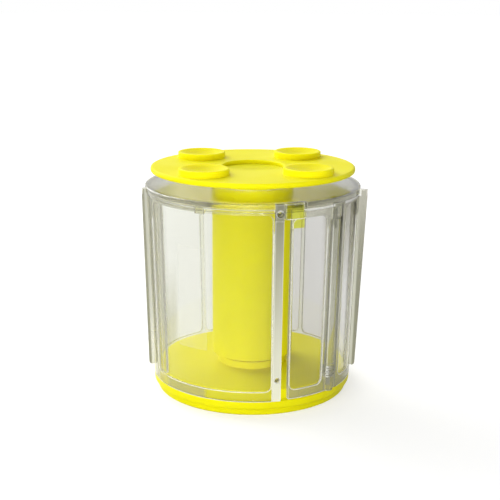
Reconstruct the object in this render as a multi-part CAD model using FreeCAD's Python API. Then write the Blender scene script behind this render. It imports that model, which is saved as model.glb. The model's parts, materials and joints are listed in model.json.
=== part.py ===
import FreeCAD, Part
import math
import os

from FreeCAD import Vector

# A hand-turned ribbon winder: a yellow base and spool inside a clear round case.
# Millimetres and degrees. +Z is up, the foot stands on z = 0 and the spool turns on the Z axis.
# An azimuth is measured about Z from the front, -Y, towards +X.

# ---------------------------------------------------------------- clearances
RUN_GAP = 0.4
FIT_GAP = 0.15
PRESS_GAP = 0.05
AXLE_CLEARANCE = 0.06
PIN_CLEARANCE = 0.05
PLAY = 0.05

# ---------------------------------------------------------------- base
FOOT_STEP = 1.7
FOOT_H = 3.0
FOOT_RING_W = 3.6
FOOT_RECESS = 0.8
FOOT_EDGE_R = 0.8
COVER_T = 2.0
COVER_LIP_H = 2.0
COVER_LIP_T = 1.8
COVER_LIP_INSET = 0.8
DISH_RIM_H = 3.2
DISH_RIM_DRAFT = 0.3
DISH_RIM_EDGE_R = 0.6
DISH_SKIRT_T = 2.2
FLOOR_T = 2.0
SPIGOT_H = 4.0
SPIGOT_GAP = 0.3
BOSS_INSET = 2.3
BOSS_T = 3.9
BOSS_H = 2.9
HUB_WALL = 3.0
POST_WALL = 1.95
POST_RING_R = 27.0
COVER_SCREWS = 3
SCREW_R = 1.25
SCREW_HEAD_R = 2.5
SCREW_HEAD_H = 1.1
SCREW_GRIP = 4.2
CROSS_L = 3.0
CROSS_W = 0.6
CROSS_DEPTH = 0.55

# ---------------------------------------------------------------- clear case
CASE_R_BOTTOM = 41.5
CASE_R_TOP = 43.7
CASE_H = 77.5
WALL_T = 2.0
PANE_RECESS = 0.9
RAIL_BOTTOM_H = 4.2
RAIL_TOP_H = 1.9
PANE_CORNER_R = 2.5
EDGE_R = 0.35

FIN_AZ = 79.0
FIN_T = 1.5
FIN_DEPTH = 2.2
FIN_LIFT = 4.0
FIN_END_R = 1.3
LEFT_FIN_FLARE = -0.2
RIGHT_FIN_FLARE = 1.4
EAR_H = 1.6
EAR_REACH = 6.0
EAR_END_R = 0.6
BACK_POST_SPREAD = 33.0
BACK_POST_W = 1.8
SIDE_BORDER_W = 2.6

WINDOW_AZ0 = -67.5
SLOT_AZ = 15.8
PANE_EDGE_W = 0.5
RIB_INSET = 5.2
RIB_W = 3.4
RIB_SINK = 0.1
RIB_LIFT = 1.0

# ---------------------------------------------------------------- slot strip
STRIP_W = 3.4
STRIP_T = 1.2
STRIP_PROUD = 0.3
BLOCK_PROUD = 0.8
BLOCK_H = 6.6
BLOCK_SINK = 0.3
STUD_R = 1.35
STUD_PROUD = 0.45
STUD_DIMPLE = 0.4
STUD_HOLLOW_SHARE = 0.7
STUD_DROP = 3.7
STUD_LIFT = 9.1

# ---------------------------------------------------------------- door and hinge
SLOT_W = 3.35
HINGE_AZ = 49.4
HINGE_INSET = 1.4
DOOR_BORDER_W = 2.7
DOOR_RAIL_DROP = 1.9
TAB_W = 7.6
TAB_H = 6.0
TAB_DIMPLE_BALL_R = 2.7
BARREL_R = 2.3
LUG_H = 6.0
KNUCKLE_GAP = 0.25
COLLAR_R = 2.75
COLLAR_H = 1.0
COLLAR_PITCH = 1.55
COLLARS = 3
PIN_R = 0.8
PIN_BITE = 4.0

# ---------------------------------------------------------------- lid
LID_LIP = 0.5
LID_T = 2.5
LID_EDGE_R = 0.7
LID_RING_H = 1.7
LID_RING_T = 1.5
LID_RING_GAP = 0.3
LID_NOTCH_GAP = 1.2
LUG_AZ = -27.5
LUG_W = 3.8
LUG_DROP = 2.4
LUG_T = 1.3

# ---------------------------------------------------------------- spool and knob
CORE_R = 16.7
CORE_T = 1.8
CORE_LIFT = 1.3
CORE_GAP = 0.35
SLIT_W = 1.5
SLIT_H = 60.0
SLIT_LIFT = 5.0
SLIT_AZ = 165.0
BUSH_H = 6.0
BUSH_SLEEVE_T = 3.0
BUSH_WEB_T = 3.0
KNOB_R = 41.8
KNOB_T = 2.1
KNOB_GAP = 5.1
KNOB_EDGE_R = 0.8
KNOB_EDGE_SHARE = 0.45
PLUG_H = 10.0
PLUG_FLOOR_T = 3.0
WELL_GAP = 2.5
KEY_W = 3.0
KEY_H = 5.0
KEY_BITE = 1.2
CUPS = 4
CUP_R = 9.95
CUP_MARGIN = 2.85
CUP_H = 2.5
CUP_RIM_W = 1.1
CUP_DEPTH = 1.7
CUP_EDGE_R = 0.45
CUP_AZ = 49.0
DISH_WALL = 2.4
DISH_DEPTH = 2.9
CAP_T = 1.3
CAP_RIM_W = 1.1
CAP_HOLLOW = 0.5
CAP_SKIRT_H = 1.3
CAP_SKIRT_T = 1.0

# ---------------------------------------------------------------- axle
AXLE_R = 2.0
AXLE_HEAD_AF = 7.0
AXLE_HEAD_H = 2.2
AXLE_END = 0.5
NUT_AF = 7.0
NUT_H = 4.0
WASHER_R = 4.5
WASHER_T = 0.8
THRUST_T = 1.0
THRUST_INSET = 1.8

# ---------------------------------------------------------------- label
LABEL_AZ = -34.6
LABEL_W = 14.6
LABEL_H = 41.2
LABEL_LIFT = 20.1
LABEL_T = 0.15
LABEL_GLUE = 0.02

# ---------------------------------------------------------------- heights worked out from the sizes
COVER_TOP_Z = FOOT_RECESS + COVER_T
HUB_Z = FOOT_H + RUN_GAP
SHOULDER_Z = FOOT_H + DISH_RIM_H
FLOOR_Z = SHOULDER_Z + SPIGOT_H
UNDERSIDE_Z = FLOOR_Z - FLOOR_T
BOSS_Z = FLOOR_Z + BOSS_H
CORE_Z0 = BOSS_Z + CORE_LIFT
CASE_Z1 = SHOULDER_Z + CASE_H
PANE_Z0 = SHOULDER_Z + RAIL_BOTTOM_H
PANE_Z1 = CASE_Z1 - RAIL_TOP_H
LID_Z1 = CASE_Z1 + LID_T
BLOCK_Z1 = LID_Z1 - BLOCK_SINK
BLOCK_Z0 = BLOCK_Z1 - BLOCK_H
KNOB_Z0 = LID_Z1 + KNOB_GAP
KNOB_Z1 = KNOB_Z0 + KNOB_T
DISH_Z = KNOB_Z1 - DISH_DEPTH
PLUG_Z0 = KNOB_Z0 - PLUG_H
SEAT_Z = PLUG_Z0 + PLUG_FLOOR_T
WASHER_Z0 = SEAT_Z + PLAY
NUT_Z0 = WASHER_Z0 + WASHER_T
AXLE_Z1 = NUT_Z0 + NUT_H + AXLE_END
LUG_TOP_Z0 = CASE_Z1 - LUG_H
LUG_BOTTOM_Z1 = SHOULDER_Z + LUG_H
EAR_Z = CASE_Z1 + EAR_H

# ---------------------------------------------------------------- radii worked out from the sizes
TAPER = (CASE_R_TOP - CASE_R_BOTTOM) / CASE_H
FOOT_R = CASE_R_BOTTOM - FOOT_STEP
LIP_SEAT_R = FOOT_R - COVER_LIP_INSET
SPIGOT_R = CASE_R_BOTTOM - WALL_T - SPIGOT_GAP
HUB_R = AXLE_HEAD_AF / math.sqrt(3.0) + HUB_WALL
LID_R = CASE_R_TOP + LID_LIP
BLOCK_R = CASE_R_TOP + BLOCK_PROUD
BLOCK_INNER_R = CASE_R_TOP - STRIP_T
PLUG_R = CORE_R - CORE_T
BOSS_R = CORE_R - BOSS_INSET
BOSS_BORE_R = BOSS_R - BOSS_T
THRUST_R = BOSS_R - THRUST_INSET
DISH_R = PLUG_R - DISH_WALL
EAR_R = CASE_R_TOP - EAR_REACH
WELL_R = WASHER_R + WELL_GAP
CUP_RING_R = KNOB_R - CUP_R - CUP_MARGIN

UP = Vector(0, 0, 1)
ORIGIN = Vector(0, 0, 0)


def case_radius(z):
    """Outer radius of the drafted case wall at a height."""
    return CASE_R_BOTTOM + (z - SHOULDER_Z) * TAPER


def arc(width, radius=CASE_R_TOP):
    """Degrees that a width takes round a circle."""
    return math.degrees(width / radius)


# ---------------------------------------------------------------- azimuths worked out from the sizes
HINGE_LOW_R = CASE_R_BOTTOM - HINGE_INSET
STRIP_AZ0 = SLOT_AZ - arc(STRIP_W)
DOOR_AZ0 = SLOT_AZ + arc(SLOT_W)
DOOR_AZ1 = HINGE_AZ - arc(BARREL_R + RUN_GAP, HINGE_LOW_R)
SIDE_AZ0 = HINGE_AZ + arc(COLLAR_R + RUN_GAP, HINGE_LOW_R)
FIN_HALF = arc(FIN_T) / 2
SIDE_AZ1 = FIN_AZ - FIN_HALF - arc(FIT_GAP)
TAB_AZ0 = SLOT_AZ + arc(RUN_GAP)
TAB_AZ1 = TAB_AZ0 + arc(TAB_W)
STUD_AZ = (STRIP_AZ0 + SLOT_AZ) / 2


# ---------------------------------------------------------------- shapes that several pieces use
def polar(radius, azimuth, z=0.0):
    """Point at an azimuth from the front."""
    turn = math.radians(azimuth)
    return Vector(radius * math.sin(turn), -radius * math.cos(turn), z)


def turned(points, azimuth0=0.0, azimuth1=360.0):
    """Solid turned about Z from a closed outline of (radius, z) points."""
    corners = [Vector(r, 0, z) for r, z in points]
    face = Part.Face(Part.makePolygon(corners + corners[:1]))
    face.rotate(ORIGIN, UP, azimuth0 - 90.0)
    return face.revolve(ORIGIN, UP, azimuth1 - azimuth0)


def ring(inner, outer, z0, z1, azimuth0=0.0, azimuth1=360.0):
    """Straight-sided ring, or a sector of one."""
    return turned([(inner, z0), (outer, z0), (outer, z1), (inner, z1)], azimuth0, azimuth1)


def wall(azimuth0, azimuth1, z0, z1, outer=0.0, inner=-WALL_T):
    """Sector of the drafted wall; its two faces are offsets from the case's outer surface."""
    r0 = case_radius(z0)
    r1 = case_radius(z1)
    outline = [(r0 + inner, z0), (r0 + outer, z0), (r1 + outer, z1), (r1 + inner, z1)]
    return turned(outline, azimuth0, azimuth1)


def rod(radius, start, end):
    return Part.makeCylinder(radius, (end - start).Length, start, end - start)


def hexagon(across_flats, z0, z1):
    """Upright hexagonal prism on the Z axis."""
    corner_r = across_flats / math.sqrt(3.0)
    corners = [polar(corner_r, 60.0 * k, z0) for k in range(7)]
    return Part.Face(Part.makePolygon(corners)).extrude(UP * (z1 - z0))


def hollow_ball(centre, hollow_r, depth):
    """Ball that cuts a shallow hollow of this radius and depth into a level face at centre."""
    ball_r = (hollow_r ** 2 + depth ** 2) / (2 * depth)
    return Part.makeSphere(ball_r, centre + UP * (ball_r - depth))


def rounded(shape, radius, wanted):
    """Fillet the edges that a test picks."""
    edges = [edge for edge in shape.Edges if not edge.Degenerated and wanted(edge)]
    return shape.makeFillet(radius, edges)


def carved(shape, tools):
    """Cut tools that touch one another out of a shape, one after the other."""
    for tool in tools:
        shape = shape.cut(tool)
    return shape


def is_level_circle(edge, z):
    """A circle or an arc that lies at this height."""
    curve = edge.Curve
    return curve.TypeId == "Part::GeomCircle" and abs(curve.Center.z - z) < 1e-3


def is_ring(edge, radius, z):
    """An arc or circle about Z with this radius and height."""
    return is_level_circle(edge, z) and abs(edge.Curve.Radius - radius) < 1e-3


def is_radial(edge):
    """A straight level edge that runs towards the axis."""
    if edge.Curve.TypeId != "Part::GeomLine":
        return False
    a = edge.Vertexes[0].Point
    b = edge.Vertexes[-1].Point
    run = abs(math.hypot(a.x, a.y) - math.hypot(b.x, b.y))
    return abs(a.z - b.z) < 1e-4 and abs(run - edge.Length) < 1e-3


def is_upright(edge):
    """A straight edge that runs up the case's outer surface."""
    if edge.Curve.TypeId != "Part::GeomLine":
        return False
    ends = [vertex.Point for vertex in edge.Vertexes]
    steep = abs(ends[0].z - ends[-1].z) > 0.9 * edge.Length
    return steep and all(abs(math.hypot(p.x, p.y) - case_radius(p.z)) < 0.01 for p in ends)


def is_on_block_face(edge):
    """An edge of the outer face of one of the two top blocks."""
    return all(abs(math.hypot(v.Point.x, v.Point.y) - BLOCK_R) < 1e-3 for v in edge.Vertexes)


def pane_tool(azimuth0, azimuth1, z0=PANE_Z0, z1=PANE_Z1):
    """Cutter for one recessed pane with round corners."""
    tool = wall(azimuth0, azimuth1, z0, z1, outer=LID_T, inner=-PANE_RECESS)
    return rounded(tool, PANE_CORNER_R, is_radial)


def panel(azimuth0, azimuth1, z0=SHOULDER_Z, z1=CASE_Z1):
    """Full-thickness sector of the case with its upright outer edges rounded."""
    return rounded(wall(azimuth0, azimuth1, z0, z1), EDGE_R, is_upright)


# ---------------------------------------------------------------- hinge line
def hinge_point(z):
    """Point of the door's hinge axis at a height; the axis leans with the wall."""
    return polar(case_radius(z) - HINGE_INSET, HINGE_AZ, z)


def hinge_rod(radius, z0, z1):
    return rod(radius, hinge_point(z0), hinge_point(z1))


def lug_rods(radius):
    """The two hinge lugs' round ends, trimmed level with the case's ends."""
    slab = Part.makeBox(4 * CASE_R_TOP, 4 * CASE_R_TOP, CASE_H)
    slab.translate(Vector(-2 * CASE_R_TOP, -2 * CASE_R_TOP, SHOULDER_Z))
    lower = hinge_rod(radius, SHOULDER_Z - radius, LUG_BOTTOM_Z1)
    upper = hinge_rod(radius, LUG_TOP_Z0, CASE_Z1 + radius)
    return [lower.common(slab), upper.common(slab)]


def pin_rods(radius, extra=0.0):
    """The two hinge pins; each bites equally into its lug and into the door's barrel."""
    bite = PIN_BITE + extra
    return [hinge_rod(radius, z - bite, z + bite) for z in (LUG_BOTTOM_Z1, LUG_TOP_Z0)]


# ---------------------------------------------------------------- base pieces
def screw_places(z):
    return [polar(POST_RING_R, 360.0 * (k + 0.5) / COVER_SCREWS, z) for k in range(COVER_SCREWS)]


def base_dish():
    """Shallow dish that carries the case, the axle and the spool's bearing boss."""
    inner_r = SPIGOT_R - DISH_SKIRT_T
    low_r = CASE_R_BOTTOM - DISH_RIM_DRAFT
    lip_z = FOOT_H + COVER_LIP_H + RUN_GAP
    dish = turned([(0, FLOOR_Z), (SPIGOT_R, FLOOR_Z), (SPIGOT_R, SHOULDER_Z), (CASE_R_BOTTOM, SHOULDER_Z),
                   (low_r, FOOT_H), (LIP_SEAT_R, FOOT_H), (LIP_SEAT_R, lip_z), (inner_r, lip_z),
                   (inner_r, UNDERSIDE_Z), (HUB_R, UNDERSIDE_Z), (HUB_R, HUB_Z), (0, HUB_Z)])
    dish = rounded(dish, DISH_RIM_EDGE_R, lambda edge: is_ring(edge, low_r, FOOT_H))
    boss = ring(BOSS_BORE_R, BOSS_R, UNDERSIDE_Z, BOSS_Z)
    posts = [rod(SCREW_R + POST_WALL, place, place + UP * (FLOOR_Z - FLOOR_T / 2 - COVER_TOP_Z))
             for place in screw_places(COVER_TOP_Z)]
    dish = dish.fuse([boss] + posts).removeSplitter()
    pilots = [rod(SCREW_R, place, place + UP * SCREW_GRIP) for place in screw_places(COVER_TOP_Z)]
    axle_hole = rod(AXLE_R, ORIGIN, UP * BOSS_Z)
    head_pocket = hexagon(AXLE_HEAD_AF, 0.0, HUB_Z + AXLE_HEAD_H)
    return dish.cut(pilots + [axle_hole, head_pocket, lug_rods(BARREL_R + RUN_GAP)[0]])


def bottom_cover():
    """Cover that closes the base from below; its outer ring is the foot."""
    lip_r = LIP_SEAT_R - FIT_GAP
    lip_z = FOOT_H + COVER_LIP_H
    ring_r = FOOT_R - FOOT_RING_W
    cover = turned([(0, FOOT_RECESS), (ring_r, FOOT_RECESS), (ring_r, 0), (FOOT_R, 0), (FOOT_R, FOOT_H),
                    (lip_r, FOOT_H), (lip_r, lip_z), (lip_r - COVER_LIP_T, lip_z),
                    (lip_r - COVER_LIP_T, COVER_TOP_Z), (0, COVER_TOP_Z)])
    cover = rounded(cover, FOOT_EDGE_R, lambda edge: is_ring(edge, FOOT_R, 0.0))
    holes = [rod(SCREW_R + FIT_GAP, place, place + UP * COVER_TOP_Z) for place in screw_places(0.0)]
    seat_z = FOOT_RECESS + FIT_GAP + SCREW_HEAD_H
    seats = [rod(SCREW_HEAD_R + FIT_GAP, place, place + UP * seat_z) for place in screw_places(0.0)]
    return cover.cut(holes + seats)


def cover_screws():
    """Screws with a cross recess, driven up through the cover into the dish's posts."""
    screws = []
    for place in screw_places(FOOT_RECESS + FIT_GAP):
        neck = place + UP * SCREW_HEAD_H
        tip = Vector(place.x, place.y, COVER_TOP_Z + SCREW_GRIP)
        screw = rod(SCREW_HEAD_R, place, neck).fuse(rod(SCREW_R, neck, tip)).removeSplitter()
        for length, width in ((CROSS_L, CROSS_W), (CROSS_W, CROSS_L)):
            blade = Part.makeBox(length, width, CROSS_DEPTH)
            blade.translate(place - Vector(length / 2, width / 2, 0))
            screw = screw.cut(blade)
        screws.append(screw)
    return Part.Compound(screws)


# ---------------------------------------------------------------- axle pieces
def axle_bolt():
    """Fixed steel axle: a long hexagon bolt whose head sits in the dish's hub."""
    head = hexagon(AXLE_HEAD_AF, HUB_Z, HUB_Z + AXLE_HEAD_H)
    return head.fuse(rod(AXLE_R, UP * HUB_Z, UP * AXLE_Z1)).removeSplitter()


def axle_nut():
    """Self-locking nut at the top of the axle, inside the knob's well."""
    nut = hexagon(NUT_AF, NUT_Z0, NUT_Z0 + NUT_H)
    return nut.cut(rod(AXLE_R, UP * NUT_Z0, UP * AXLE_Z1))


def axle_washer():
    return ring(AXLE_R, WASHER_R, WASHER_Z0, NUT_Z0)


def thrust_washer():
    """Slippery ring that carries the spool on the dish's boss."""
    return ring(BOSS_BORE_R, THRUST_R, BOSS_Z, BOSS_Z + THRUST_T)


# ---------------------------------------------------------------- spool pieces
def drive_keys(inner, outer, clearance):
    """Pair of driving keys between the knob's plug and the core."""
    half = arc(KEY_W / 2 + clearance, CORE_R)
    z0 = KNOB_Z0 - KEY_H - clearance
    return [ring(inner, outer, z0, KNOB_Z0, centre - half, centre + half) for centre in (90.0, 270.0)]


def spool_core():
    """Tube that the ribbon is wound on, with a slit for the ribbon's end."""
    tube = ring(PLUG_R, CORE_R, CORE_Z0, KNOB_Z0)
    slit = Part.makeBox(SLIT_W, 2 * CORE_T, SLIT_H)
    slit.translate(Vector(-SLIT_W / 2, -CORE_R - CORE_T / 2, CORE_Z0 + BUSH_H + SLIT_LIFT))
    slit.rotate(ORIGIN, UP, SLIT_AZ)
    return tube.cut([slit] + drive_keys(PLUG_R - CORE_T, PLUG_R + KEY_BITE + FIT_GAP, FIT_GAP))


def core_bush():
    """Bearing plug in the core's lower end; it turns on the axle and on the thrust washer."""
    plug = ring(AXLE_R + AXLE_CLEARANCE, PLUG_R, CORE_Z0, CORE_Z0 + BUSH_H)
    foot = ring(BOSS_BORE_R, THRUST_R, BOSS_Z + THRUST_T + PLAY, CORE_Z0 + BUSH_WEB_T)
    sleeve_r = AXLE_R + AXLE_CLEARANCE + BUSH_SLEEVE_T
    hollow = ring(sleeve_r, BOSS_BORE_R, CORE_Z0 + BUSH_WEB_T, CORE_Z0 + BUSH_H)
    return plug.fuse(foot).removeSplitter().cut(hollow)


def finger_cup(azimuth):
    """Round finger rest on the knob with a hollowed top."""
    foot = polar(CUP_RING_R, azimuth, KNOB_Z1 - KNOB_T / 2)
    top = polar(CUP_RING_R, azimuth, KNOB_Z1 + CUP_H)
    cup = rod(CUP_R, foot, top).cut(hollow_ball(top, CUP_R - CUP_RIM_W, CUP_DEPTH))
    return rounded(cup, CUP_EDGE_R, lambda edge: is_level_circle(edge, top.z))


def knob_disc():
    """Turning disc with finger cups, a centre dish and the plug that drives the core."""
    edge_r = min(KNOB_EDGE_R, KNOB_EDGE_SHARE * KNOB_T)
    disc = turned([(0, PLUG_Z0), (PLUG_R, PLUG_Z0), (PLUG_R, KNOB_Z0), (KNOB_R, KNOB_Z0),
                   (KNOB_R, KNOB_Z1), (0, KNOB_Z1)])
    for z in (KNOB_Z0, KNOB_Z1):
        disc = rounded(disc, edge_r, lambda edge: is_ring(edge, KNOB_R, z))
    cups = [finger_cup(CUP_AZ + 360.0 * k / CUPS) for k in range(CUPS)]
    keys = drive_keys(PLUG_R - EDGE_R, PLUG_R + KEY_BITE, 0.0)
    disc = disc.fuse(cups + keys).removeSplitter()
    dish = rod(DISH_R, UP * DISH_Z, UP * (KNOB_Z1 + CUP_H))
    well = rod(WELL_R, UP * SEAT_Z, UP * KNOB_Z1)
    bore = rod(AXLE_R + AXLE_CLEARANCE, UP * PLUG_Z0, UP * KNOB_Z1)
    disc = disc.cut([dish, well, bore])
    return rounded(disc, EDGE_R, lambda edge: is_ring(edge, DISH_R, KNOB_Z1))


def centre_cap():
    """Dished cap that hides the axle nut; its skirt plugs into the knob's well."""
    top_z = DISH_Z + CAP_T
    cap = rod(DISH_R - PRESS_GAP, UP * DISH_Z, UP * top_z)
    cap = cap.cut(hollow_ball(UP * top_z, DISH_R - CAP_RIM_W, CAP_HOLLOW))
    skirt_r = WELL_R - PRESS_GAP
    skirt = ring(skirt_r - CAP_SKIRT_T, skirt_r, DISH_Z - CAP_SKIRT_H, DISH_Z + (CAP_T - CAP_HOLLOW) / 2)
    return cap.fuse(skirt).removeSplitter()


# ---------------------------------------------------------------- clear case pieces
def fin(azimuth, flare):
    """Upright flange outside the case wall; its top runs inward as an ear that keys the lid."""
    z0 = SHOULDER_Z + FIN_LIFT
    foot_r = case_radius(z0) + FIN_DEPTH
    top_r = CASE_R_TOP + FIN_DEPTH + flare
    half_wall = WALL_T / 2
    blade = turned([(case_radius(z0) - half_wall, z0), (foot_r, z0), (top_r, CASE_Z1), (top_r, EAR_Z),
                    (EAR_R, EAR_Z), (EAR_R, CASE_Z1), (CASE_R_TOP - half_wall, CASE_Z1)],
                   azimuth - FIN_HALF, azimuth + FIN_HALF)
    blade = rounded(blade, FIN_END_R, lambda edge: is_ring(edge, foot_r, z0))
    return rounded(blade, EAR_END_R, lambda edge: is_ring(edge, top_r, EAR_Z))


def back_shell():
    """Rear of the clear case: three recessed panes between posts, and a fin at each end."""
    azimuth0 = FIN_AZ - FIN_HALF
    azimuth1 = 360.0 - azimuth0
    shell = wall(azimuth0, azimuth1, SHOULDER_Z, CASE_Z1)
    shell = shell.fuse([fin(FIN_AZ, RIGHT_FIN_FLARE), fin(-FIN_AZ, LEFT_FIN_FLARE)]).removeSplitter()
    border = 2 * FIN_HALF + arc(SIDE_BORDER_W)
    half_post = arc(BACK_POST_W) / 2
    posts = (180.0 - BACK_POST_SPREAD, 180.0 + BACK_POST_SPREAD)
    return shell.cut([pane_tool(azimuth0 + border, posts[0] - half_post),
                      pane_tool(posts[0] + half_post, posts[1] - half_post),
                      pane_tool(posts[1] + half_post, azimuth1 - border)])


def left_side_panel():
    """Narrow plain panel between the left fin and the front window."""
    return panel(-SIDE_AZ1, WINDOW_AZ0 - arc(FIT_GAP))


def right_side_panel():
    """Clear panel between the hinge and the right fin; it carries both hinge lugs."""
    border = arc(SIDE_BORDER_W)
    side = panel(SIDE_AZ0, SIDE_AZ1).cut(pane_tool(SIDE_AZ0 + border, SIDE_AZ1 - border))
    webs = [wall(HINGE_AZ, SIDE_AZ0 + border / 2, z0, z1, outer=-EDGE_R)
            for z0, z1 in ((SHOULDER_Z, LUG_BOTTOM_Z1), (LUG_TOP_Z0, CASE_Z1))]
    side = side.fuse(webs + lug_rods(BARREL_R)).removeSplitter()
    return side.cut(pin_rods(PIN_R))


def hinge_pins():
    return Part.Compound(pin_rods(PIN_R))


def front_window():
    """Wide clear front panel: a recessed pane with a rib, and a stepped edge for the slot strip."""
    step_az0 = STRIP_AZ0 - arc(FIT_GAP)
    step = wall(step_az0, SLOT_AZ + arc(SLOT_W), SHOULDER_Z, CASE_Z1, outer=LID_T, inner=-STRIP_T)
    pane = pane_tool(WINDOW_AZ0 + arc(PANE_EDGE_W), step_az0 - arc(PANE_EDGE_W))
    half = arc(LUG_W / 2 + FIT_GAP)
    notch_z0 = CASE_Z1 - LUG_DROP - FIT_GAP
    notch_r = LID_R - LUG_T - FIT_GAP
    notch = ring(notch_r, BLOCK_R + LID_T, notch_z0, LID_Z1, LUG_AZ - half, LUG_AZ + half)
    window = carved(panel(WINDOW_AZ0, SLOT_AZ), [step, pane, notch] + stud_rods(BLOCK_PROUD))
    rib_az0 = WINDOW_AZ0 + arc(RIB_INSET)
    rib = wall(rib_az0, rib_az0 + arc(RIB_W), PANE_Z0 + RIB_LIFT, PANE_Z1 + RAIL_TOP_H / 2,
               outer=-RIB_SINK, inner=-(PANE_RECESS + WALL_T) / 2)
    return window.fuse(rib).removeSplitter()


def stud_places():
    """Heights of the two studs and the radius of the face that each stands on."""
    low_z = SHOULDER_Z + STUD_LIFT
    return ((BLOCK_Z1 - STUD_DROP, BLOCK_R), (low_z, case_radius(low_z) + STRIP_PROUD))


def stud_rods(proud):
    """Radial rods from the window's inner face to a height above the strip's outer face."""
    return [rod(STUD_R, polar(case_radius(z) - WALL_T, STUD_AZ, z), polar(face_r + proud, STUD_AZ, z))
            for z, face_r in stud_places()]


def strip_studs():
    """Two round studs that fasten the strip to the window, each with a hollow head."""
    studs = []
    for stud, (z, face_r) in zip(stud_rods(STUD_PROUD), stud_places()):
        ball_r = STUD_HOLLOW_SHARE * (STUD_R ** 2 + STUD_DIMPLE ** 2) / (2 * STUD_DIMPLE)
        ball = Part.makeSphere(ball_r, polar(face_r + STUD_PROUD + ball_r - STUD_DIMPLE, STUD_AZ, z))
        studs.append(stud.cut(ball))
    return Part.Compound(studs)


def slot_strip():
    """Clear strip along the left side of the ribbon slot, with a block at its top."""
    bar = wall(STRIP_AZ0, SLOT_AZ, SHOULDER_Z + FIT_GAP, CASE_Z1, outer=STRIP_PROUD, inner=-STRIP_T)
    block = turned([(BLOCK_INNER_R - (CASE_Z1 - BLOCK_Z0) * TAPER, BLOCK_Z0), (BLOCK_R, BLOCK_Z0),
                    (BLOCK_R, BLOCK_Z1), (BLOCK_INNER_R, BLOCK_Z1), (BLOCK_INNER_R, CASE_Z1)],
                   STRIP_AZ0, SLOT_AZ)
    block = rounded(block, EDGE_R, is_on_block_face)
    return bar.fuse(block).removeSplitter().cut(stud_rods(BLOCK_PROUD))


def latch_tab(door_top):
    """Tab on the door's upper corner that closes the slot's top and drops into the lid's notch."""
    z0 = BLOCK_Z1 - TAB_H
    inner = case_radius(z0) - STRIP_T
    tab = turned([(inner, z0), (BLOCK_R, z0), (BLOCK_R, BLOCK_Z1), (BLOCK_INNER_R, BLOCK_Z1),
                  (BLOCK_INNER_R, door_top), (inner, door_top)], TAB_AZ0, TAB_AZ1)
    tab = rounded(tab, EDGE_R, lambda edge: is_on_block_face(edge) and not is_level_circle(edge, z0))
    centre_r = BLOCK_R + TAB_DIMPLE_BALL_R - STUD_DIMPLE
    centre = polar(centre_r, (TAB_AZ0 + TAB_AZ1) / 2, BLOCK_Z1 - STUD_DROP)
    return tab.cut(Part.makeSphere(TAB_DIMPLE_BALL_R, centre))


def ribbon_door():
    """Narrow hinged door beside the slot, with a latch tab and a hinge barrel."""
    z0 = SHOULDER_Z + RUN_GAP
    z1 = CASE_Z1 - RUN_GAP
    barrel_z0 = LUG_BOTTOM_Z1 + KNUCKLE_GAP
    barrel_z1 = LUG_TOP_Z0 - KNUCKLE_GAP
    pane = pane_tool(DOOR_AZ0 + arc(PANE_EDGE_W), DOOR_AZ1 - arc(DOOR_BORDER_W),
                     PANE_Z0, PANE_Z1 - DOOR_RAIL_DROP)
    plate = panel(DOOR_AZ0, DOOR_AZ1, z0, z1).cut(pane)
    web = wall(DOOR_AZ1 - arc(EDGE_R * 2), HINGE_AZ, barrel_z0 + BARREL_R, barrel_z1, outer=-EDGE_R)
    barrel = hinge_rod(BARREL_R, barrel_z0, barrel_z1)
    collar_z = [barrel_z0 + k * COLLAR_PITCH for k in range(COLLARS)]
    collars = [hinge_rod(COLLAR_R, z, z + COLLAR_H) for z in collar_z]
    door = plate.fuse([web, barrel, latch_tab(z1)] + collars).removeSplitter()
    return door.cut(pin_rods(PIN_R + PIN_CLEARANCE, extra=PIN_CLEARANCE))


def lid():
    """Clear lid: the core's bore, a locating ring, slots for the fins' ears, a notch and a window lug."""
    disc = ring(CORE_R + CORE_GAP, LID_R, CASE_Z1, LID_Z1)
    disc = rounded(disc, LID_EDGE_R, lambda edge: is_ring(edge, LID_R, LID_Z1))
    ring_z = CASE_Z1 - LID_RING_H
    ring_r = case_radius(ring_z) - WALL_T - LID_RING_GAP
    locator = ring(ring_r - LID_RING_T, ring_r, ring_z, CASE_Z1 + LID_T / 2)
    half = arc(LUG_W / 2)
    lug = ring(LID_R - LUG_T, LID_R, CASE_Z1 - LUG_DROP, CASE_Z1 + LID_T / 2,
               LUG_AZ - half, LUG_AZ + half)
    notch = ring(BLOCK_INNER_R - LID_RING_GAP, BLOCK_R + LID_T, CASE_Z1 - LID_T, LID_Z1 + LID_T,
                 STRIP_AZ0 - arc(FIT_GAP), TAB_AZ1 + arc(LID_NOTCH_GAP))
    half = FIN_HALF + arc(FIT_GAP)
    ear_slots = [ring(EAR_R - FIT_GAP, LID_R + LID_T, ring_z - FIT_GAP, EAR_Z + FIT_GAP,
                      azimuth - half, azimuth + half) for azimuth in (-FIN_AZ, FIN_AZ)]
    lug_relief = lug_rods(BARREL_R + FIT_GAP)[1]
    return disc.fuse([locator, lug]).removeSplitter().cut([notch, lug_relief] + ear_slots)


def blank_label():
    """Blank clear film on the front window's pane."""
    half = arc(LABEL_W) / 2
    z0 = SHOULDER_Z + LABEL_LIFT
    return wall(LABEL_AZ - half, LABEL_AZ + half, z0, z0 + LABEL_H,
                outer=LABEL_GLUE + LABEL_T - PANE_RECESS, inner=LABEL_GLUE - PANE_RECESS)


# ---------------------------------------------------------------- export
PIECES = (bottom_cover, cover_screws, base_dish, axle_bolt, axle_nut, axle_washer, thrust_washer,
          core_bush, spool_core, knob_disc, centre_cap, lid, back_shell, left_side_panel,
          right_side_panel, hinge_pins, front_window, slot_strip, strip_studs, ribbon_door, blank_label)

os.makedirs("parts", exist_ok=True)
for piece in PIECES:
    shape = piece()
    shape.exportStep(os.path.join("parts", piece.__name__ + ".step"))
    print(piece.__name__, len(shape.Solids), "valid:", shape.isValid(), "mm3:", round(shape.Volume, 1))
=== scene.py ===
import json
import math

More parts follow.
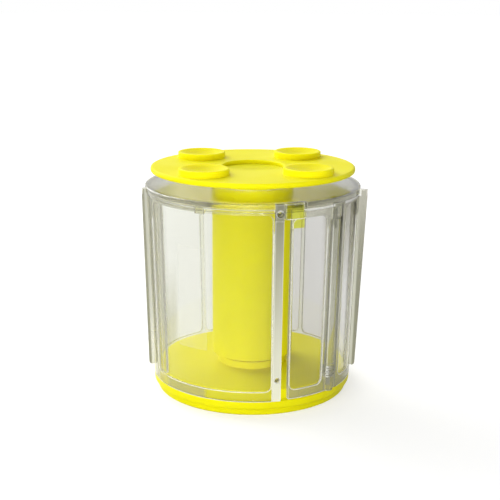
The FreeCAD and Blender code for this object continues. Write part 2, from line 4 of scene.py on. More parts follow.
import bpy
from mathutils import Euler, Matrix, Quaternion, Vector


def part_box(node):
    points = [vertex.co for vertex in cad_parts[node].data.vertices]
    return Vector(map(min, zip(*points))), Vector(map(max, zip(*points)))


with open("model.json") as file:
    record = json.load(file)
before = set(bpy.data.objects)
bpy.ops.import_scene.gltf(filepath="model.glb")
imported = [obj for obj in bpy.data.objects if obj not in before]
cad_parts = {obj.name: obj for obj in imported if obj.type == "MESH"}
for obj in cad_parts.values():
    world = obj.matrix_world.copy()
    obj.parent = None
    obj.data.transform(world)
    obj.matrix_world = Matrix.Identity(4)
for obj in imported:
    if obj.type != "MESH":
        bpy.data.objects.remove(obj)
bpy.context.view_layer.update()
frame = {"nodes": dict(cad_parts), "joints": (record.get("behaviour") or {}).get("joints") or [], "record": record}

# Finishes, light and camera for a ribbon winder: a yellow spool that its disc turns inside a clear,
# drafted round case with a hinged door. Z is the spool's axis and -Y the front. An azimuth is in degrees
# about Z, from the front towards +X.
MM = 0.001

# ---------------------------------------------------------------- camera, in metres and degrees
FRAME_PX = 500
FOCAL_PX = 1106.0
SENSOR_MM = 36.0
CAMERA_DISTANCE = 0.4475
CAMERA_HEIGHT = 0.171
CAMERA_PITCH = -14.24
CAMERA_YAW = 0.13
CAMERA_ROLL = 0.3
CAMERA_NEAR = 0.01
CAMERA_FAR = 20.0

# ---------------------------------------------------------------- studio, in metres
# The glow of the floor grows from FLOOR_GLOW to FAR_GLOW over FAR_FLOOR, distances from the axis. What is
# mirrored or seen through the winder meets that glow only behind FRONT_FLOOR, which fades in along Y.
FLOOR_RADIUS = 4.0
FLOOR_SIDES = 96
FLOOR_COLOUR = (0.50, 0.50, 0.50)
FLOOR_GLOW = 0.60
FAR_GLOW = 0.78
FAR_FLOOR = (0.25, 1.1)
FRONT_FLOOR = (-0.32, -0.06)
# The room's light is dim in front and bright behind, and weaker towards the right. SKY_DEPTH and SKY_ACROSS
# are where it changes, as the Y and the X of a direction.
FRONT_SKY = 0.25
BACK_SKY = 1.22
SKY_DEPTH = (-0.3, 0.5)
RIGHT_SKY_SHARE = 0.6
SKY_ACROSS = (-0.5, 0.6)
WHITE = (1.0, 1.0, 1.0)

# ---------------------------------------------------------------- colours
YELLOW = (0.90, 0.825, 0.008)
YELLOW_DEEP = (0.85, 0.77, 0.006)
STEEL_PALE = (0.56, 0.56, 0.54)
STEEL_DARK = (0.44, 0.44, 0.43)
RING_PALE = (0.85, 0.84, 0.80)
RING_DARK = (0.76, 0.75, 0.70)
FILM_TINT = (0.98, 0.98, 0.97)
CLEAR_TINT = (0.86, 0.865, 0.82)
# painted shade: the panes on the right are darker
CLEAR_RIGHT_SHADE = (0.75, 0.745, 0.73)
# painted shade on the narrow pane left of the rib
POCKET_SHADE = (0.54, 0.53, 0.43)
FRONT_TINT = (0.72, 0.73, 0.60)
# painted shade: the moulding left and right of the front, and the strip's top, are darker grey
FLANK_SHADE = (0.45, 0.445, 0.34)
# painted light: the lower left of the case is paler
FOOT_PAINTED_LIGHT = (0.66, 0.655, 0.53)
# painted: the yellow of the core, as seen through the clear latch tab
LATCH_PAINTED_CORE_YELLOW = (0.70, 0.72, 0.09)
# painted shade: the fins are dark, the right one darker
FIN_SHADE = (0.28, 0.28, 0.185)
RIGHT_FIN_SHADE = (0.17, 0.168, 0.105)
TOP_SHADE = (0.45, 0.44, 0.37)
# painted shade on the hinge barrel and on its edge lines
HINGE_SHADE = (0.34, 0.34, 0.26)
MILK_GREY = (0.43, 0.43, 0.35)
# pale colour of the painted highlights on edges, side faces and the brim, and of the label film's haze
HIGHLIGHT_AND_HAZE_WHITE = (0.95, 0.95, 0.93)
# painted shade at the strip's top and painted light at its foot
STRIP_PAINTED_SHADE = (0.26, 0.26, 0.19)
STRIP_PAINTED_LIGHT = (0.86, 0.86, 0.72)
CLEAR_SHADOW = (0.965, 0.967, 0.96)
CLEAR_DEPTH_TINT = (0.60, 0.60, 0.50)
# colours of the lid at places along X, in millimetres: seen through, its haze, and its rim; the darker ones
# towards the sides are painted shade, and the rim's pale middle is painted light
LID_TINTS_AND_SHADE = (
    (-43.0, (0.42, 0.42, 0.34)),
    (-35.0, (0.60, 0.60, 0.50)),
    (-29.0, (1.0, 0.99, 0.84)),
    (6.0, (1.0, 0.99, 0.84)),
    (34.0, (0.58, 0.59, 0.54)),
)
LID_HAZE_AND_SHADE = (
    (-38.0, (0.30, 0.30, 0.25)),
    (-29.0, (0.93, 0.92, 0.70)),
    (14.0, (0.90, 0.89, 0.66)),
    (34.0, (0.42, 0.42, 0.33)),
)
LID_RIM_LIGHT_AND_SHADE = (
    (-42.0, (0.46, 0.45, 0.32)),
    (-24.0, (0.62, 0.61, 0.44)),
    (-12.0, (0.94, 0.93, 0.74)),
    (8.0, (0.94, 0.93, 0.74)),
    (22.0, (0.50, 0.49, 0.36)),
    (42.0, (0.42, 0.41, 0.30)),
)

# ---------------------------------------------------------------- how the plastics take the light
YELLOW_IOR = 1.5
YELLOW_SPECULAR = 0.05
FILM_IOR = 1.04
CLEAR_IOR = 1.4
CLEAR_SPECULAR = 0.06
CLEAR_DENSITY = 12.0
LID_DENSITY = 2.0
LID_GLOSS = 0.25
GLOSS_ROUGHNESS = 0.03
# shares of matt colour laid over the clear shaders: haze inside, and painted highlights: pale lines along sharp
# edges, pale side faces and a pale brim
MILK_SHARE = 0.35
MILK_LOST_AT_DUSK = 0.8
SIDE_SHARE = 0.20
LINE_SHARE = 0.95
LINE_LOST_AT_TOP = 0.85
LINE_LOST_ON_RIB = 0.75
BRIM_SHARE = 0.6
LID_HAZE_SHARE = 0.10
LID_LINE_SHARE = 0.25
STRIP_HAZE = (0.62, 0.78)
STRIP_LINE_SHARE = 0.5
FILM_HAZE = (0.03, 0.06)

# An edge line is EDGE_WIDTH millimetres wide. It starts and is full where the cosine of the angle between
# the softened normal and the face's own is at EDGE_TURN.
EDGE_WIDTH = 0.7
EDGE_TURN = (0.985, 0.88)
# A noise keeps mostly within NOISE_REACH. The clouds have CLOUD_SHARE of the waves' scale.
NOISE_REACH = (0.3, 0.7)
CLOUD_SHARE = 0.45


# ---------------------------------------------------------------- places on the winder
def azimuth_of(x, y):
    return math.degrees(math.atan2(x, -y))


def left_end(name):
    """Smallest azimuth among a node's corners."""
    return min(azimuth_of(v.co.x, v.co.y) for v in frame["nodes"][name].data.vertices)


def outer_radius(name, height):
    """Largest distance from the axis among a node's corners at a height, in millimetres."""
    level = (v.co for v in frame["nodes"][name].data.vertices if abs(v.co.z / MM - height) < 0.2)
    return max(math.hypot(corner.x, corner.y) for corner in level) / MM


# Millimetres and degrees. A pair gives where a change begins and where it ends.
# the drafted wall, its recessed panes and the fins that stand outside it
WALL_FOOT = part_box("front_window")[0][2] / MM
WALL_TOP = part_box("front_window")[1][2] / MM
WALL_FOOT_R = outer_radius("front_window", WALL_FOOT)
WALL_TOP_R = outer_radius("front_window", WALL_TOP)
PANE_RECESS = 0.9
PANE_DEPTH_SHARE = (0.35, 0.75)
FIN_STAND = (0.9, 1.3)
SIDE_TURN_COSINE = (0.5, 0.25)
MIDDLE_X = (-1.0, 1.0)
PANE_SHADE_X = (-5.0, 20.0)
# the wall's left side: the window's rib, the narrow pane left of the rib, with painted shade, and the foot, with
# painted light; the painted shade of the flanks ends just behind the axis
window_left = left_end("front_window")
LEFT_FLANK = (window_left + 40.0, window_left + 42.5)
FLANK_BACK_Y = 5.0
RIB_CENTRE = window_left + 9.0
RIB_REACH = 3.2
POCKET_X = (-35.2, -36.2)
POCKET_Y = (5.0, 0.0)
FOOT_Z = (WALL_FOOT + 41.8, WALL_FOOT + 15.8)
FOOT_X = (-33.0, -35.0)
# the door: the latch tab on its top left corner and the barrel on its right
door_left = left_end("ribbon_door")
RIGHT_FLANK = (door_left + 0.7, door_left + 2.7)
TAB_RIGHT = door_left + 10.1
TAB_FOOT = WALL_TOP - 3.9
LATCH_CENTRE = door_left + 6.1
LATCH_REACH = 5.4
LATCH_FOOT = WALL_TOP - 7.8
door_swing = next(joint for joint in frame["joints"] if joint["name"] == "door_swing")
HINGE_CENTRE = azimuth_of(*door_swing["pos_m"][:2]) + 2.0
HINGE_REACH = 4.5
BARREL_Z = (WALL_FOOT + 35.8, WALL_FOOT + 67.8)
# the shaded upper right, and the pale edge lines along the wall's top, which are painted highlights
DUSK_Z = (WALL_TOP - 39.7, WALL_TOP - 3.7)
DUSK_X = (31.0, 35.0)
LINE_FADE_Z = (WALL_TOP - 9.7, WALL_TOP - 7.7)
BRIM_Z = (WALL_TOP - 1.3, WALL_TOP - 1.0)
BRIM_X = (19.0, 22.0)
BRIGHT_EDGE_Z = (WALL_TOP - 1.0, WALL_TOP - 0.7)
# the lid's rim, its plate above the lug, and the parts of it left and right of the core
lid_radius, lid_top = (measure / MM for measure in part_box("lid")[1][1:])
LID_RIM_R = (lid_radius - 3.7, lid_radius - 0.8)
LID_PLATE_Z = (lid_top - 2.0, lid_top - 1.6)
core_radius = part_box("spool_core")[1][1] / MM
BESIDE_CORE_X = (core_radius - 0.7, core_radius + 2.3)


# ---------------------------------------------------------------- nodes
def new_material(name):
    material = bpy.data.materials.new(name)
    material.use_nodes = True
    material.node_tree.nodes.clear()
    return material, material.node_tree


def add(tree, kind, inputs=None, **values):
    """New node: its properties by name, then plain values or links for its sockets."""
    node = tree.nodes.new(kind)
    for key, value in values.items():
        setattr(node, key, value)
    for key, value in (inputs or {}).items():
        if isinstance(value, bpy.types.NodeSocket):
            tree.links.new(value, node.inputs[key])
        else:
            node.inputs[key].default_value = value
    return node


def maths(tree, operation, *values):
    """Result of a Math node on one or two values."""
    return add(tree, "ShaderNodeMath", dict(enumerate(values)), operation=operation).outputs[0]


def vector_maths(tree, operation, *values):
    """Vector Math node; its result is a vector or a value, as the operation has it."""
    return add(tree, "ShaderNodeVectorMath", dict(enumerate(values)), operation=operation)


def scaled(tree, mask, share):
    return maths(tree, "MULTIPLY", mask, share)


def larger(tree, one, other):
    return maths(tree, "MAXIMUM", one, other)


def rest_of(tree, mask):
    return maths(tree, "SUBTRACT", 1.0, mask)


def near(tree, value, centre, reach):
    """1 where a value lies within a reach of a centre."""
    away = maths(tree, "ABSOLUTE", maths(tree, "SUBTRACT", value, centre))
    return maths(tree, "LESS_THAN", away, reach)


def remap(tree, value, source, target=(0.0, 1.0), **settings):
    """Carry a value from one range, given by its two ends, to another."""
    node = add(tree, "ShaderNodeMapRange", {
        "Value": value, "From Min": source[0], "From Max": source[1],
        "To Min": target[0], "To Max": target[1]}, **settings)
    return node.outputs["Result"]


def soft_step(tree, value, source, target=(0.0, 1.0)):
    return remap(tree, value, source, target, interpolation_type="SMOOTHSTEP")


def spread(tree, noise, low, high):
    """Map the usual reach of a noise to a range."""
    return remap(tree, noise, NOISE_REACH, (low, high))


def own_place(tree):
    return add(tree, "ShaderNodeTexCoord").outputs["Object"]


def own_share(tree, axis, ends):
    """0 to 1 between two places, in millimetres, along one of the object's own axes."""
    parts = add(tree, "ShaderNodeSeparateXYZ", {0: own_place(tree)})
    return remap(tree, parts.outputs[axis], (ends[0] * MM, ends[1] * MM))


def paint(colour):
    """A plain colour as a socket takes it; a linked one as it is."""
    return colour if isinstance(colour, bpy.types.NodeSocket) else (*colour, 1)


def blend_colour(tree, mask, low, high):
    """Mix two colours, given plain or as sockets, by a mask."""
    return add(tree, "ShaderNodeMix", {"Factor": mask, "A": paint(low), "B": paint(high)},
               data_type="RGBA").outputs["Result"]


def colours_across(tree, stations):
    """Colours given at places along X, in millimetres, and blended between them."""
    low, high = stations[0][0], stations[-1][0]
    ramp = add(tree, "ShaderNodeValToRGB", {"Fac": own_share(tree, "X", (low, high))})
    stops = ramp.color_ramp.elements
    for x, _ in stations[1:-1]:
        stops.new((x - low) / (high - low))
    for stop, (_, colour) in zip(stops, stations):
        stop.color = (*colour, 1)
    return ramp.outputs["Color"]


def bump(tree, height, depth, strength, below=None):
    """Normal of a bumpy skin with a depth in millimetres, over the plain normal or another one."""
    node = add(tree, "ShaderNodeBump", {"Height": height, "Distance": depth * MM, "Strength": strength})
    if below:
        tree.links.new(below, node.inputs["Normal"])
    return node.outputs[0]


def mix_shaders(tree, share, below, above):
    return add(tree, "ShaderNodeMixShader", {"Fac": share, 1: below, 2: above}).outputs[0]


def finish_surface(tree, surface, volume=None):
    out = add(tree, "ShaderNodeOutputMaterial", {"Surface": surface})
    if volume:
        tree.links.new(volume, out.inputs["Volume"])


# ---------------------------------------------------------------- effects that several finishes use
def new_group(name, inputs, outputs):
    """Shader node group with named float inputs (and their defaults) and named outputs."""
    tree = bpy.data.node_groups.new(name, "ShaderNodeTree")
    for label, value in inputs:
        socket = tree.interface.new_socket(label, in_out="INPUT", socket_type="NodeSocketFloat")
        socket.default_value = value
    for label, kind in outputs:
        tree.interface.new_socket(label, in_out="OUTPUT", socket_type=kind)
    return tree, tree.nodes.new("NodeGroupInput"), tree.nodes.new("NodeGroupOutput")


def place_group(tree, group, **values):
    """Place a group and set its inputs; an underscore stands for the space in an input's name."""
    node = add(tree, "ShaderNodeGroup", node_tree=group)
    for label, value in values.items():
        node.inputs[label.replace("_", " ")].default_value = value
    return node.outputs


def moulding_flow_group():
    """Slow waves, a fine grain and soft clouds, as a moulded skin has; all run from 0 to 1."""
    tree, into, out = new_group(
        "moulding_flow",
        [("Wave Scale", 60.0), ("Grain Scale", 2500.0), ("Stretch", 0.35)],
        [(label, "NodeSocketFloat") for label in ("Wave", "Grain", "Cloud")])
    place = own_place(tree)
    squash = add(tree, "ShaderNodeCombineXYZ", {"X": 1.0, "Y": 1.0, "Z": into.outputs["Stretch"]})
    drawn = vector_maths(tree, "MULTIPLY", place, squash.outputs[0])
    wave = add(tree, "ShaderNodeTexNoise", {
        "Vector": drawn.outputs[0], "Scale": into.outputs["Wave Scale"], "Detail": 2.0, "Roughness": 0.4})
    grain = add(tree, "ShaderNodeTexNoise", {
        "Vector": place, "Scale": into.outputs["Grain Scale"], "Detail": 3.0})
    cloud = add(tree, "ShaderNodeTexNoise", {
        "Vector": place, "Scale": scaled(tree, into.outputs["Wave Scale"], CLOUD_SHARE),
        "Detail": 4.0, "Distortion": 0.6})
    for label, noise in (("Wave", wave), ("Grain", grain), ("Cloud", cloud)):
        tree.links.new(noise.outputs["Fac"], out.inputs[label])
    return tree


def edge_lines_group():
    """Line is 1 close to a sharp edge; Rounded is the normal with that edge softened."""
    tree, into, out = new_group("edge_lines", [("Width", EDGE_WIDTH * MM)],
                                [("Line", "NodeSocketFloat"), ("Rounded", "NodeSocketVector")])
    soft = add(tree, "ShaderNodeBevel", {"Radius": into.outputs["Width"]}, samples=6)
    facing = add(tree, "ShaderNodeNewGeometry")
    turn = vector_maths(tree, "DOT_PRODUCT", soft.outputs[0], facing.outputs["True Normal"])
    tree.links.new(remap(tree, turn.outputs["Value"], EDGE_TURN), out.inputs["Line"])
    tree.links.new(soft.outputs[0], out.inputs["Rounded"])
    return tree


def wall_parts_group():
    """Masks on the drafted case. Thick is its outer face, without the recessed panes, and Fin is what
    stands well outside it. Side marks faces that look along or across the wall. Flank is the moulding left
    and right of the front, Rib the window's upright rib, Latch the door's top corner and Hinge the barrel
    between door and side panel."""
    masks = ("Thick", "Fin", "Side", "Flank", "Rib", "Latch", "Hinge")
    tree, into, out = new_group("wall_parts", [("Recess", PANE_RECESS * MM)],
                                [(mask, "NodeSocketFloat") for mask in masks])
    parts = add(tree, "ShaderNodeSeparateXYZ", {0: own_place(tree)})
    height = parts.outputs["Z"]
    flat = add(tree, "ShaderNodeCombineXYZ", {"X": parts.outputs["X"], "Y": parts.outputs["Y"]}).outputs[0]
    radius = vector_maths(tree, "LENGTH", flat).outputs["Value"]
    skin = remap(tree, height, (WALL_FOOT * MM, WALL_TOP * MM), (WALL_FOOT_R * MM, WALL_TOP_R * MM),
                 clamp=False)
    depth = maths(tree, "SUBTRACT", skin, radius)
    share = maths(tree, "DIVIDE", depth, into.outputs["Recess"])
    thick = soft_step(tree, share, PANE_DEPTH_SHARE, (1.0, 0.0))
    fin = remap(tree, depth, (-FIN_STAND[0] * MM, -FIN_STAND[1] * MM))

    outward = vector_maths(tree, "NORMALIZE", flat)
    facing = add(tree, "ShaderNodeNewGeometry")
    own_facing = add(tree, "ShaderNodeVectorTransform", {0: facing.outputs["True Normal"]},
                     vector_type="NORMAL", convert_from="WORLD", convert_to="OBJECT")
    along = vector_maths(tree, "DOT_PRODUCT", outward.outputs[0], own_facing.outputs[0])
    side = remap(tree, maths(tree, "ABSOLUTE", along.outputs["Value"]), SIDE_TURN_COSINE)

    front = maths(tree, "MULTIPLY", parts.outputs["Y"], -1.0)
    azimuth = maths(tree, "ARCTAN2", parts.outputs["X"], front)
    left = remap(tree, azimuth, [math.radians(end) for end in LEFT_FLANK], (1.0, 0.0))
    right = remap(tree, azimuth, [math.radians(end) for end in RIGHT_FLANK])
    beyond_tab = maths(tree, "GREATER_THAN", azimuth, math.radians(TAB_RIGHT))
    below_tab = maths(tree, "LESS_THAN", height, TAB_FOOT * MM)
    either = larger(tree, left, scaled(tree, right, larger(tree, beyond_tab, below_tab)))
    ahead = maths(tree, "GREATER_THAN", front, -FLANK_BACK_Y * MM)
    flank = scaled(tree, either, ahead)

    rib = near(tree, azimuth, math.radians(RIB_CENTRE), math.radians(RIB_REACH))
    high = maths(tree, "GREATER_THAN", height, LATCH_FOOT * MM)
    latch = scaled(tree, high, near(tree, azimuth, math.radians(LATCH_CENTRE), math.radians(LATCH_REACH)))
    hinge = near(tree, azimuth, math.radians(HINGE_CENTRE), math.radians(HINGE_REACH))
    for mask, socket in zip(masks, (thick, fin, side, flank, rib, latch, hinge)):
        tree.links.new(socket, out.inputs[mask])
    return tree


# ---------------------------------------------------------------- finishes of the winder
def yellow_plastic(groups):
    """Slightly cloudy, half matt yellow moulding that light enters a little."""
    material, tree = new_material("yellow_moulding")
    flow = place_group(tree, groups["flow"], Wave_Scale=70.0, Grain_Scale=2600.0, Stretch=0.8)
    tone = blend_colour(tree, spread(tree, flow["Cloud"], 0.0, 1.0), YELLOW, YELLOW_DEEP)
    ripple = bump(tree, flow["Wave"], depth=0.12, strength=0.5)
    skin = bump(tree, flow["Grain"], depth=0.012, strength=0.6, below=ripple)
    shader = add(tree, "ShaderNodeBsdfPrincipled", {
        "Base Color": tone, "Roughness": spread(tree, flow["Cloud"], 0.38, 0.50), "IOR": YELLOW_IOR,
        "Specular IOR Level": YELLOW_SPECULAR, "Normal": skin, "Subsurface Weight": 0.6,
        "Subsurface Radius": (1.0, 0.9, 0.1), "Subsurface Scale": 4.0 * MM})
    finish_surface(tree, shader.outputs[0])
    return material


def let_light_in(tree, surface):
    """The surface for what is seen, and a plain clear film for shadow and diffuse rays."""
    path = add(tree, "ShaderNodeLightPath")
    open_rays = larger(tree, path.outputs["Is Shadow Ray"], path.outputs["Is Diffuse Ray"])
    film = add(tree, "ShaderNodeBsdfTransparent", {"Color": (*CLEAR_SHADOW, 1)})
    return mix_shaders(tree, open_rays, surface, film.outputs[0])


def clear_shader(tree, groups, tint, blur, gloss=0.0):
    """Clear plastic with slow moulding waves; also gives its edge lines."""
    flow = place_group(tree, groups["flow"], Wave_Scale=85.0, Grain_Scale=1800.0, Stretch=0.3)
    lines = place_group(tree, groups["lines"])
    ripple = bump(tree, flow["Wave"], depth=0.10, strength=0.5, below=lines["Rounded"])
    shader = add(tree, "ShaderNodeBsdfPrincipled", {
        "Base Color": tint, "Roughness": spread(tree, flow["Cloud"], *blur), "IOR": CLEAR_IOR,
        "Specular IOR Level": CLEAR_SPECULAR, "Transmission Weight": 1.0, "Normal": ripple,
        "Coat Weight": gloss, "Coat Roughness": GLOSS_ROUGHNESS})
    return shader.outputs[0], lines["Line"]


def mixed(tree, share, below, colour):
    """Lay a share of matt colour, given plain or as a socket, over a shader."""
    matt = add(tree, "ShaderNodeBsdfDiffuse", {"Color": paint(colour)})
    return mix_shaders(tree, share, below, matt.outputs[0])


def thickness(tree, density):
    """Absorption inside a clear piece."""
    return add(tree, "ShaderNodeVolumeAbsorption", {
        "Color": (*CLEAR_DEPTH_TINT, 1), "Density": density}).outputs[0]


def case_tint_and_shade(tree, wall, foot, dusk):
    """Tint of the case: that of the panes, darker on the right as painted shade, with each other place's colour
    laid over it in turn: painted shade on the pocket, flanks, hinge barrel, fins and upper right, the moulding's
    grey at the front, painted light on the foot and the core's yellow painted on the latch.
    """
    tint = blend_colour(tree, own_share(tree, "X", PANE_SHADE_X), CLEAR_TINT, CLEAR_RIGHT_SHADE)
    pocket = scaled(tree, own_share(tree, "X", POCKET_X), own_share(tree, "Y", POCKET_Y))
    moulding = blend_colour(tree, wall["Flank"], FRONT_TINT, FLANK_SHADE)
    barrel = scaled(tree, wall["Hinge"], own_share(tree, "Z", BARREL_Z))
    fin = blend_colour(tree, own_share(tree, "X", MIDDLE_X), FIN_SHADE, RIGHT_FIN_SHADE)
    for mask, colour in ((pocket, POCKET_SHADE), (wall["Thick"], moulding), (foot, FOOT_PAINTED_LIGHT),
                         (barrel, HINGE_SHADE), (wall["Latch"], LATCH_PAINTED_CORE_YELLOW), (wall["Fin"], fin),
                         (dusk, TOP_SHADE)):
        tint = blend_colour(tree, mask, tint, colour)
    return tint


def case_edges(tree, wall, line, off_fin):
    """Share of pale edge line on the case, a painted highlight: weak near its top and on the rib, full along the
    top edge and on the latch, with a pale brim, also a painted highlight, over the door's side of the top."""
    lined = scaled(tree, off_fin,
                   rest_of(tree, scaled(tree, own_share(tree, "Z", LINE_FADE_Z), LINE_LOST_AT_TOP)))
    lined = scaled(tree, lined, rest_of(tree, scaled(tree, wall["Rib"], LINE_LOST_ON_RIB)))
    for bright in (own_share(tree, "Z", BRIGHT_EDGE_Z), wall["Latch"]):
        lined = larger(tree, lined, bright)
    edge = scaled(tree, scaled(tree, line, wall["Thick"]), scaled(tree, lined, LINE_SHARE))
    brim = scaled(tree, scaled(tree, own_share(tree, "Z", BRIM_Z), own_share(tree, "X", BRIM_X)),
                  scaled(tree, scaled(tree, wall["Thick"], off_fin), BRIM_SHARE))
    return larger(tree, edge, brim)


def case_plastic(groups):
    """Clear moulding: greyer and milkier where it is thick, with painted shade and light in its tint, and pale
    side faces and outer edges that are painted highlights.
    """
    material, tree = new_material("clear_case")
    wall = place_group(tree, groups["parts"])
    foot = scaled(tree, own_share(tree, "Z", FOOT_Z), own_share(tree, "X", FOOT_X))
    dusk = scaled(tree, own_share(tree, "Z", DUSK_Z), own_share(tree, "X", DUSK_X))
    clear, line = clear_shader(tree, groups, case_tint_and_shade(tree, wall, foot, dusk), (0.015, 0.05))

    milk = scaled(tree, scaled(tree, wall["Thick"], wall["Flank"]), MILK_SHARE)
    milk = scaled(tree, milk, rest_of(tree, foot))
    milk = scaled(tree, milk, rest_of(tree, scaled(tree, dusk, MILK_LOST_AT_DUSK)))
    hazed = mixed(tree, milk, clear, MILK_GREY)

    off_fin = rest_of(tree, wall["Fin"])
    side = scaled(tree, wall["Side"], scaled(tree, off_fin, rest_of(tree, dusk)))
    pale = larger(tree, scaled(tree, side, SIDE_SHARE), case_edges(tree, wall, line, off_fin))
    edged = mixed(tree, pale, hazed, blend_colour(tree, wall["Hinge"], HIGHLIGHT_AND_HAZE_WHITE, HINGE_SHADE))
    finish_surface(tree, let_light_in(tree, edged), thickness(tree, CLEAR_DENSITY))
    return material


def lid_plastic(groups):
    """Clear lid, slightly frosted under a glossy skin, darker at its rim, towards the right and at the far left,
    which is painted shade, with pale edge lines that are painted highlights.
    """
    material, tree = new_material("clear_lid")
    level = vector_maths(tree, "MULTIPLY", own_place(tree), (1.0, 1.0, 0.0))
    radius = vector_maths(tree, "LENGTH", level.outputs[0]).outputs["Value"]
    rim = remap(tree, radius, [end * MM for end in LID_RIM_R])
    tint = blend_colour(tree, rim, colours_across(tree, LID_TINTS_AND_SHADE), colours_across(tree, LID_RIM_LIGHT_AND_SHADE))
    clear, line = clear_shader(tree, groups, tint, (0.12, 0.20), LID_GLOSS)

    beside_core = larger(tree, own_share(tree, "X", [-x for x in BESIDE_CORE_X]),
                         own_share(tree, "X", BESIDE_CORE_X))
    haze = scaled(tree, scaled(tree, beside_core, own_share(tree, "Z", LID_PLATE_Z)), LID_HAZE_SHARE)
    hazed = mixed(tree, haze, clear, colours_across(tree, LID_HAZE_AND_SHADE))
    edged = mixed(tree, scaled(tree, line, LID_LINE_SHARE), hazed, HIGHLIGHT_AND_HAZE_WHITE)
    finish_surface(tree, let_light_in(tree, edged), thickness(tree, LID_DENSITY))
    return material


def strip_plastic(groups):
    """Clear strip beside the slot, with painted shade at its top and painted light at its foot; its edge lines are
    painted highlights.
    """
    material, tree = new_material("clear_strip")
    height = own_share(tree, "Z", (WALL_FOOT, WALL_TOP))
    tint = blend_colour(tree, height, CLEAR_TINT, FLANK_SHADE)
    clear, line = clear_shader(tree, groups, tint, (0.02, 0.06))
    flow = place_group(tree, groups["flow"], Wave_Scale=140.0, Stretch=0.15)
    hazed = mixed(tree, spread(tree, flow["Wave"], *STRIP_HAZE), clear,
                  blend_colour(tree, height, STRIP_PAINTED_LIGHT, STRIP_PAINTED_SHADE))
    edged = mixed(tree, scaled(tree, line, STRIP_LINE_SHARE), hazed, HIGHLIGHT_AND_HAZE_WHITE)
    finish_surface(tree, let_light_in(tree, edged))
    return material


def label_film(groups):
    """Thin clear film that hardly bends the light."""
    material, tree = new_material("label_film")
    flow = place_group(tree, groups["flow"], Wave_Scale=120.0)
    shader = add(tree, "ShaderNodeBsdfPrincipled", {
        "Base Color": (*FILM_TINT, 1), "Roughness": spread(tree, flow["Cloud"], 0.02, 0.06),
        "IOR": FILM_IOR, "Transmission Weight": 1.0})
    hazed = mixed(tree, spread(tree, flow["Cloud"], *FILM_HAZE), shader.outputs[0], HIGHLIGHT_AND_HAZE_WHITE)
    finish_surface(tree, let_light_in(tree, hazed))
    return material


def turned_steel(groups):
    """Plated steel with fine turning marks and cloudy sheen."""
    material, tree = new_material("plated_steel")
    flow = place_group(tree, groups["flow"], Wave_Scale=900.0, Grain_Scale=6000.0, Stretch=6.0)
    tone = blend_colour(tree, spread(tree, flow["Cloud"], 0.0, 1.0), STEEL_PALE, STEEL_DARK)
    shader = add(tree, "ShaderNodeBsdfPrincipled", {
        "Base Color": tone, "Roughness": spread(tree, flow["Grain"], 0.24, 0.40), "Metallic": 1.0,
        "Normal": bump(tree, flow["Wave"], depth=0.02, strength=0.5)})
    finish_surface(tree, shader.outputs[0])
    return material


def bearing_plastic(groups):
    """Waxy off-white ring."""
    material, tree = new_material("bearing_ring")
    flow = place_group(tree, groups["flow"], Wave_Scale=300.0, Grain_Scale=3000.0)
    tone = blend_colour(tree, spread(tree, flow["Cloud"], 0.0, 1.0), RING_PALE, RING_DARK)
    shader = add(tree, "ShaderNodeBsdfPrincipled", {
        "Base Color": tone, "Roughness": spread(tree, flow["Wave"], 0.36, 0.50),
        "Normal": bump(tree, flow["Grain"], depth=0.01, strength=0.5)})
    finish_surface(tree, shader.outputs[0])
    return material


def dress_winder():
    """Give every piece its finish: the lid and the strip their own, the others that of their slot."""
    groups = {"flow": moulding_flow_group(), "lines": edge_lines_group(), "parts": wall_parts_group()}
    finishes = {
        "yellow_plastic": yellow_plastic(groups),
        "clear_plastic": case_plastic(groups),
        "steel": turned_steel(groups),
        "bearing_plastic": bearing_plastic(groups),
        "label_film": label_film(groups),
    }
    own_finishes = {"lid": lid_plastic(groups), "slot_strip": strip_plastic(groups)}
    slots = {row["node"]: row["material_slot"] for row in frame["record"]["subparts"]}
    for name, node in frame["nodes"].items():
        node.data.materials.clear()
        node.data.materials.append(own_finishes.get(name, finishes[slots[name]]))


# ---------------------------------------------------------------- studio
def backdrop_rays(tree):
    """1 for rays that see the backdrop: camera, glossy and transmission rays."""
    path = add(tree, "ShaderNodeLightPath")
    some = larger(tree, path.outputs["Is Camera Ray"], path.outputs["Is Glossy Ray"])
    return larger(tree, some, path.outputs["Is Transmission Ray"])


def make_floor():
    """Pale floor that keeps the winder's shadow and glows only where it is seen."""
    bpy.ops.mesh.primitive_circle_add(vertices=FLOOR_SIDES, radius=FLOOR_RADIUS, fill_type="NGON",
                                      location=(0, 0, 0))
    floor = bpy.context.active_object
    floor.name = "studio_floor"
    material, tree = new_material("studio_floor")
    diffuse = add(tree, "ShaderNodeBsdfDiffuse", {"Color": (*FLOOR_COLOUR, 1)})
    place = own_place(tree)
    parts = add(tree, "ShaderNodeSeparateXYZ", {0: place})
    behind = soft_step(tree, parts.outputs["Y"], FRONT_FLOOR)
    path = add(tree, "ShaderNodeLightPath")
    glowing = scaled(tree, backdrop_rays(tree), larger(tree, behind, path.outputs["Is Camera Ray"]))
    away = vector_maths(tree, "LENGTH", place).outputs["Value"]
    level = scaled(tree, glowing, remap(tree, away, FAR_FLOOR, (FLOOR_GLOW, FAR_GLOW)))
    glow = add(tree, "ShaderNodeEmission", {"Strength": level})
    both = add(tree, "ShaderNodeAddShader", {0: diffuse.outputs[0], 1: glow.outputs[0]})
    finish_surface(tree, both.outputs[0])
    floor.data.materials.append(material)


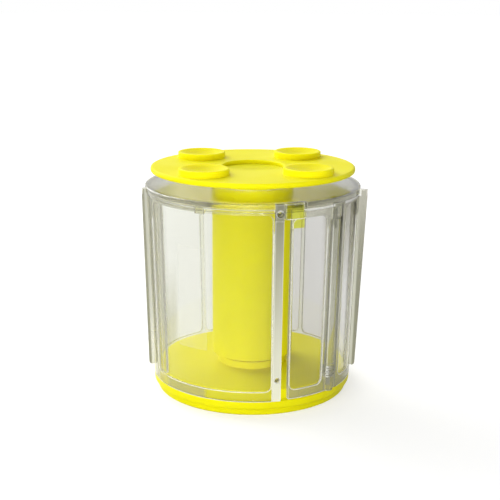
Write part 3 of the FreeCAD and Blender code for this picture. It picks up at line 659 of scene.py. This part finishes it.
def make_world():
    """White where it is seen; the room's own light for all other rays."""
    world = bpy.data.worlds.new("studio")
    bpy.context.scene.world = world
    world.use_nodes = True
    tree = world.node_tree
    tree.nodes.clear()
    place = add(tree, "ShaderNodeTexCoord")
    parts = add(tree, "ShaderNodeSeparateXYZ", {0: place.outputs["Generated"]})
    deep = soft_step(tree, parts.outputs["Y"], SKY_DEPTH, (FRONT_SKY, BACK_SKY))
    across = soft_step(tree, parts.outputs["X"], SKY_ACROSS, (1.0, RIGHT_SKY_SHARE))
    room = add(tree, "ShaderNodeBackground", {"Color": (*WHITE, 1), "Strength": scaled(tree, deep, across)})
    white = add(tree, "ShaderNodeBackground", {"Color": (*WHITE, 1), "Strength": 1.0})
    both = mix_shaders(tree, backdrop_rays(tree), room.outputs[0], white.outputs[0])
    add(tree, "ShaderNodeOutputWorld", {"Surface": both})


def softbox(name, place, target, size, power, mirrored=True):
    """Rectangular lamp that looks at a target."""
    light = bpy.data.lights.new(name, "AREA")
    light.shape = "RECTANGLE"
    light.size, light.size_y = size
    light.energy = power
    lamp = bpy.data.objects.new(name, light)
    bpy.context.scene.collection.objects.link(lamp)
    lamp.visible_glossy = mirrored
    lamp.location = place
    aim = Vector(target) - Vector(place)
    lamp.rotation_euler = aim.to_track_quat("-Z", "Y").to_euler()


def make_camera():
    data = bpy.data.cameras.new("camera")
    data.sensor_width = SENSOR_MM
    data.lens = FOCAL_PX / FRAME_PX * SENSOR_MM
    data.clip_start = CAMERA_NEAR
    data.clip_end = CAMERA_FAR
    camera = bpy.data.objects.new("camera", data)
    bpy.context.scene.collection.objects.link(camera)
    camera.location = (0, -CAMERA_DISTANCE, CAMERA_HEIGHT)
    level = Euler((math.radians(90 + CAMERA_PITCH), 0, math.radians(CAMERA_YAW))).to_quaternion()
    roll = Quaternion((0, 0, 1), math.radians(CAMERA_ROLL))
    camera.rotation_euler = (level @ roll).to_euler()
    bpy.context.scene.camera = camera


make_camera()
make_world()
make_floor()
softbox("key", place=(-0.6, -0.9, 0.75), target=(0, 0, 0.05), size=(1.0, 1.0), power=4.5)
softbox("back", place=(-0.8, 0.75, 0.75), target=(0, 0, 0.03), size=(0.9, 0.9), power=12.0)
softbox("front", place=(-0.1, -1.2, 0.11), target=(0, 0, 0.06), size=(0.8, 0.2), power=10.0, mirrored=False)
dress_winder()

bpy.context.scene.view_settings.view_transform = "Standard"
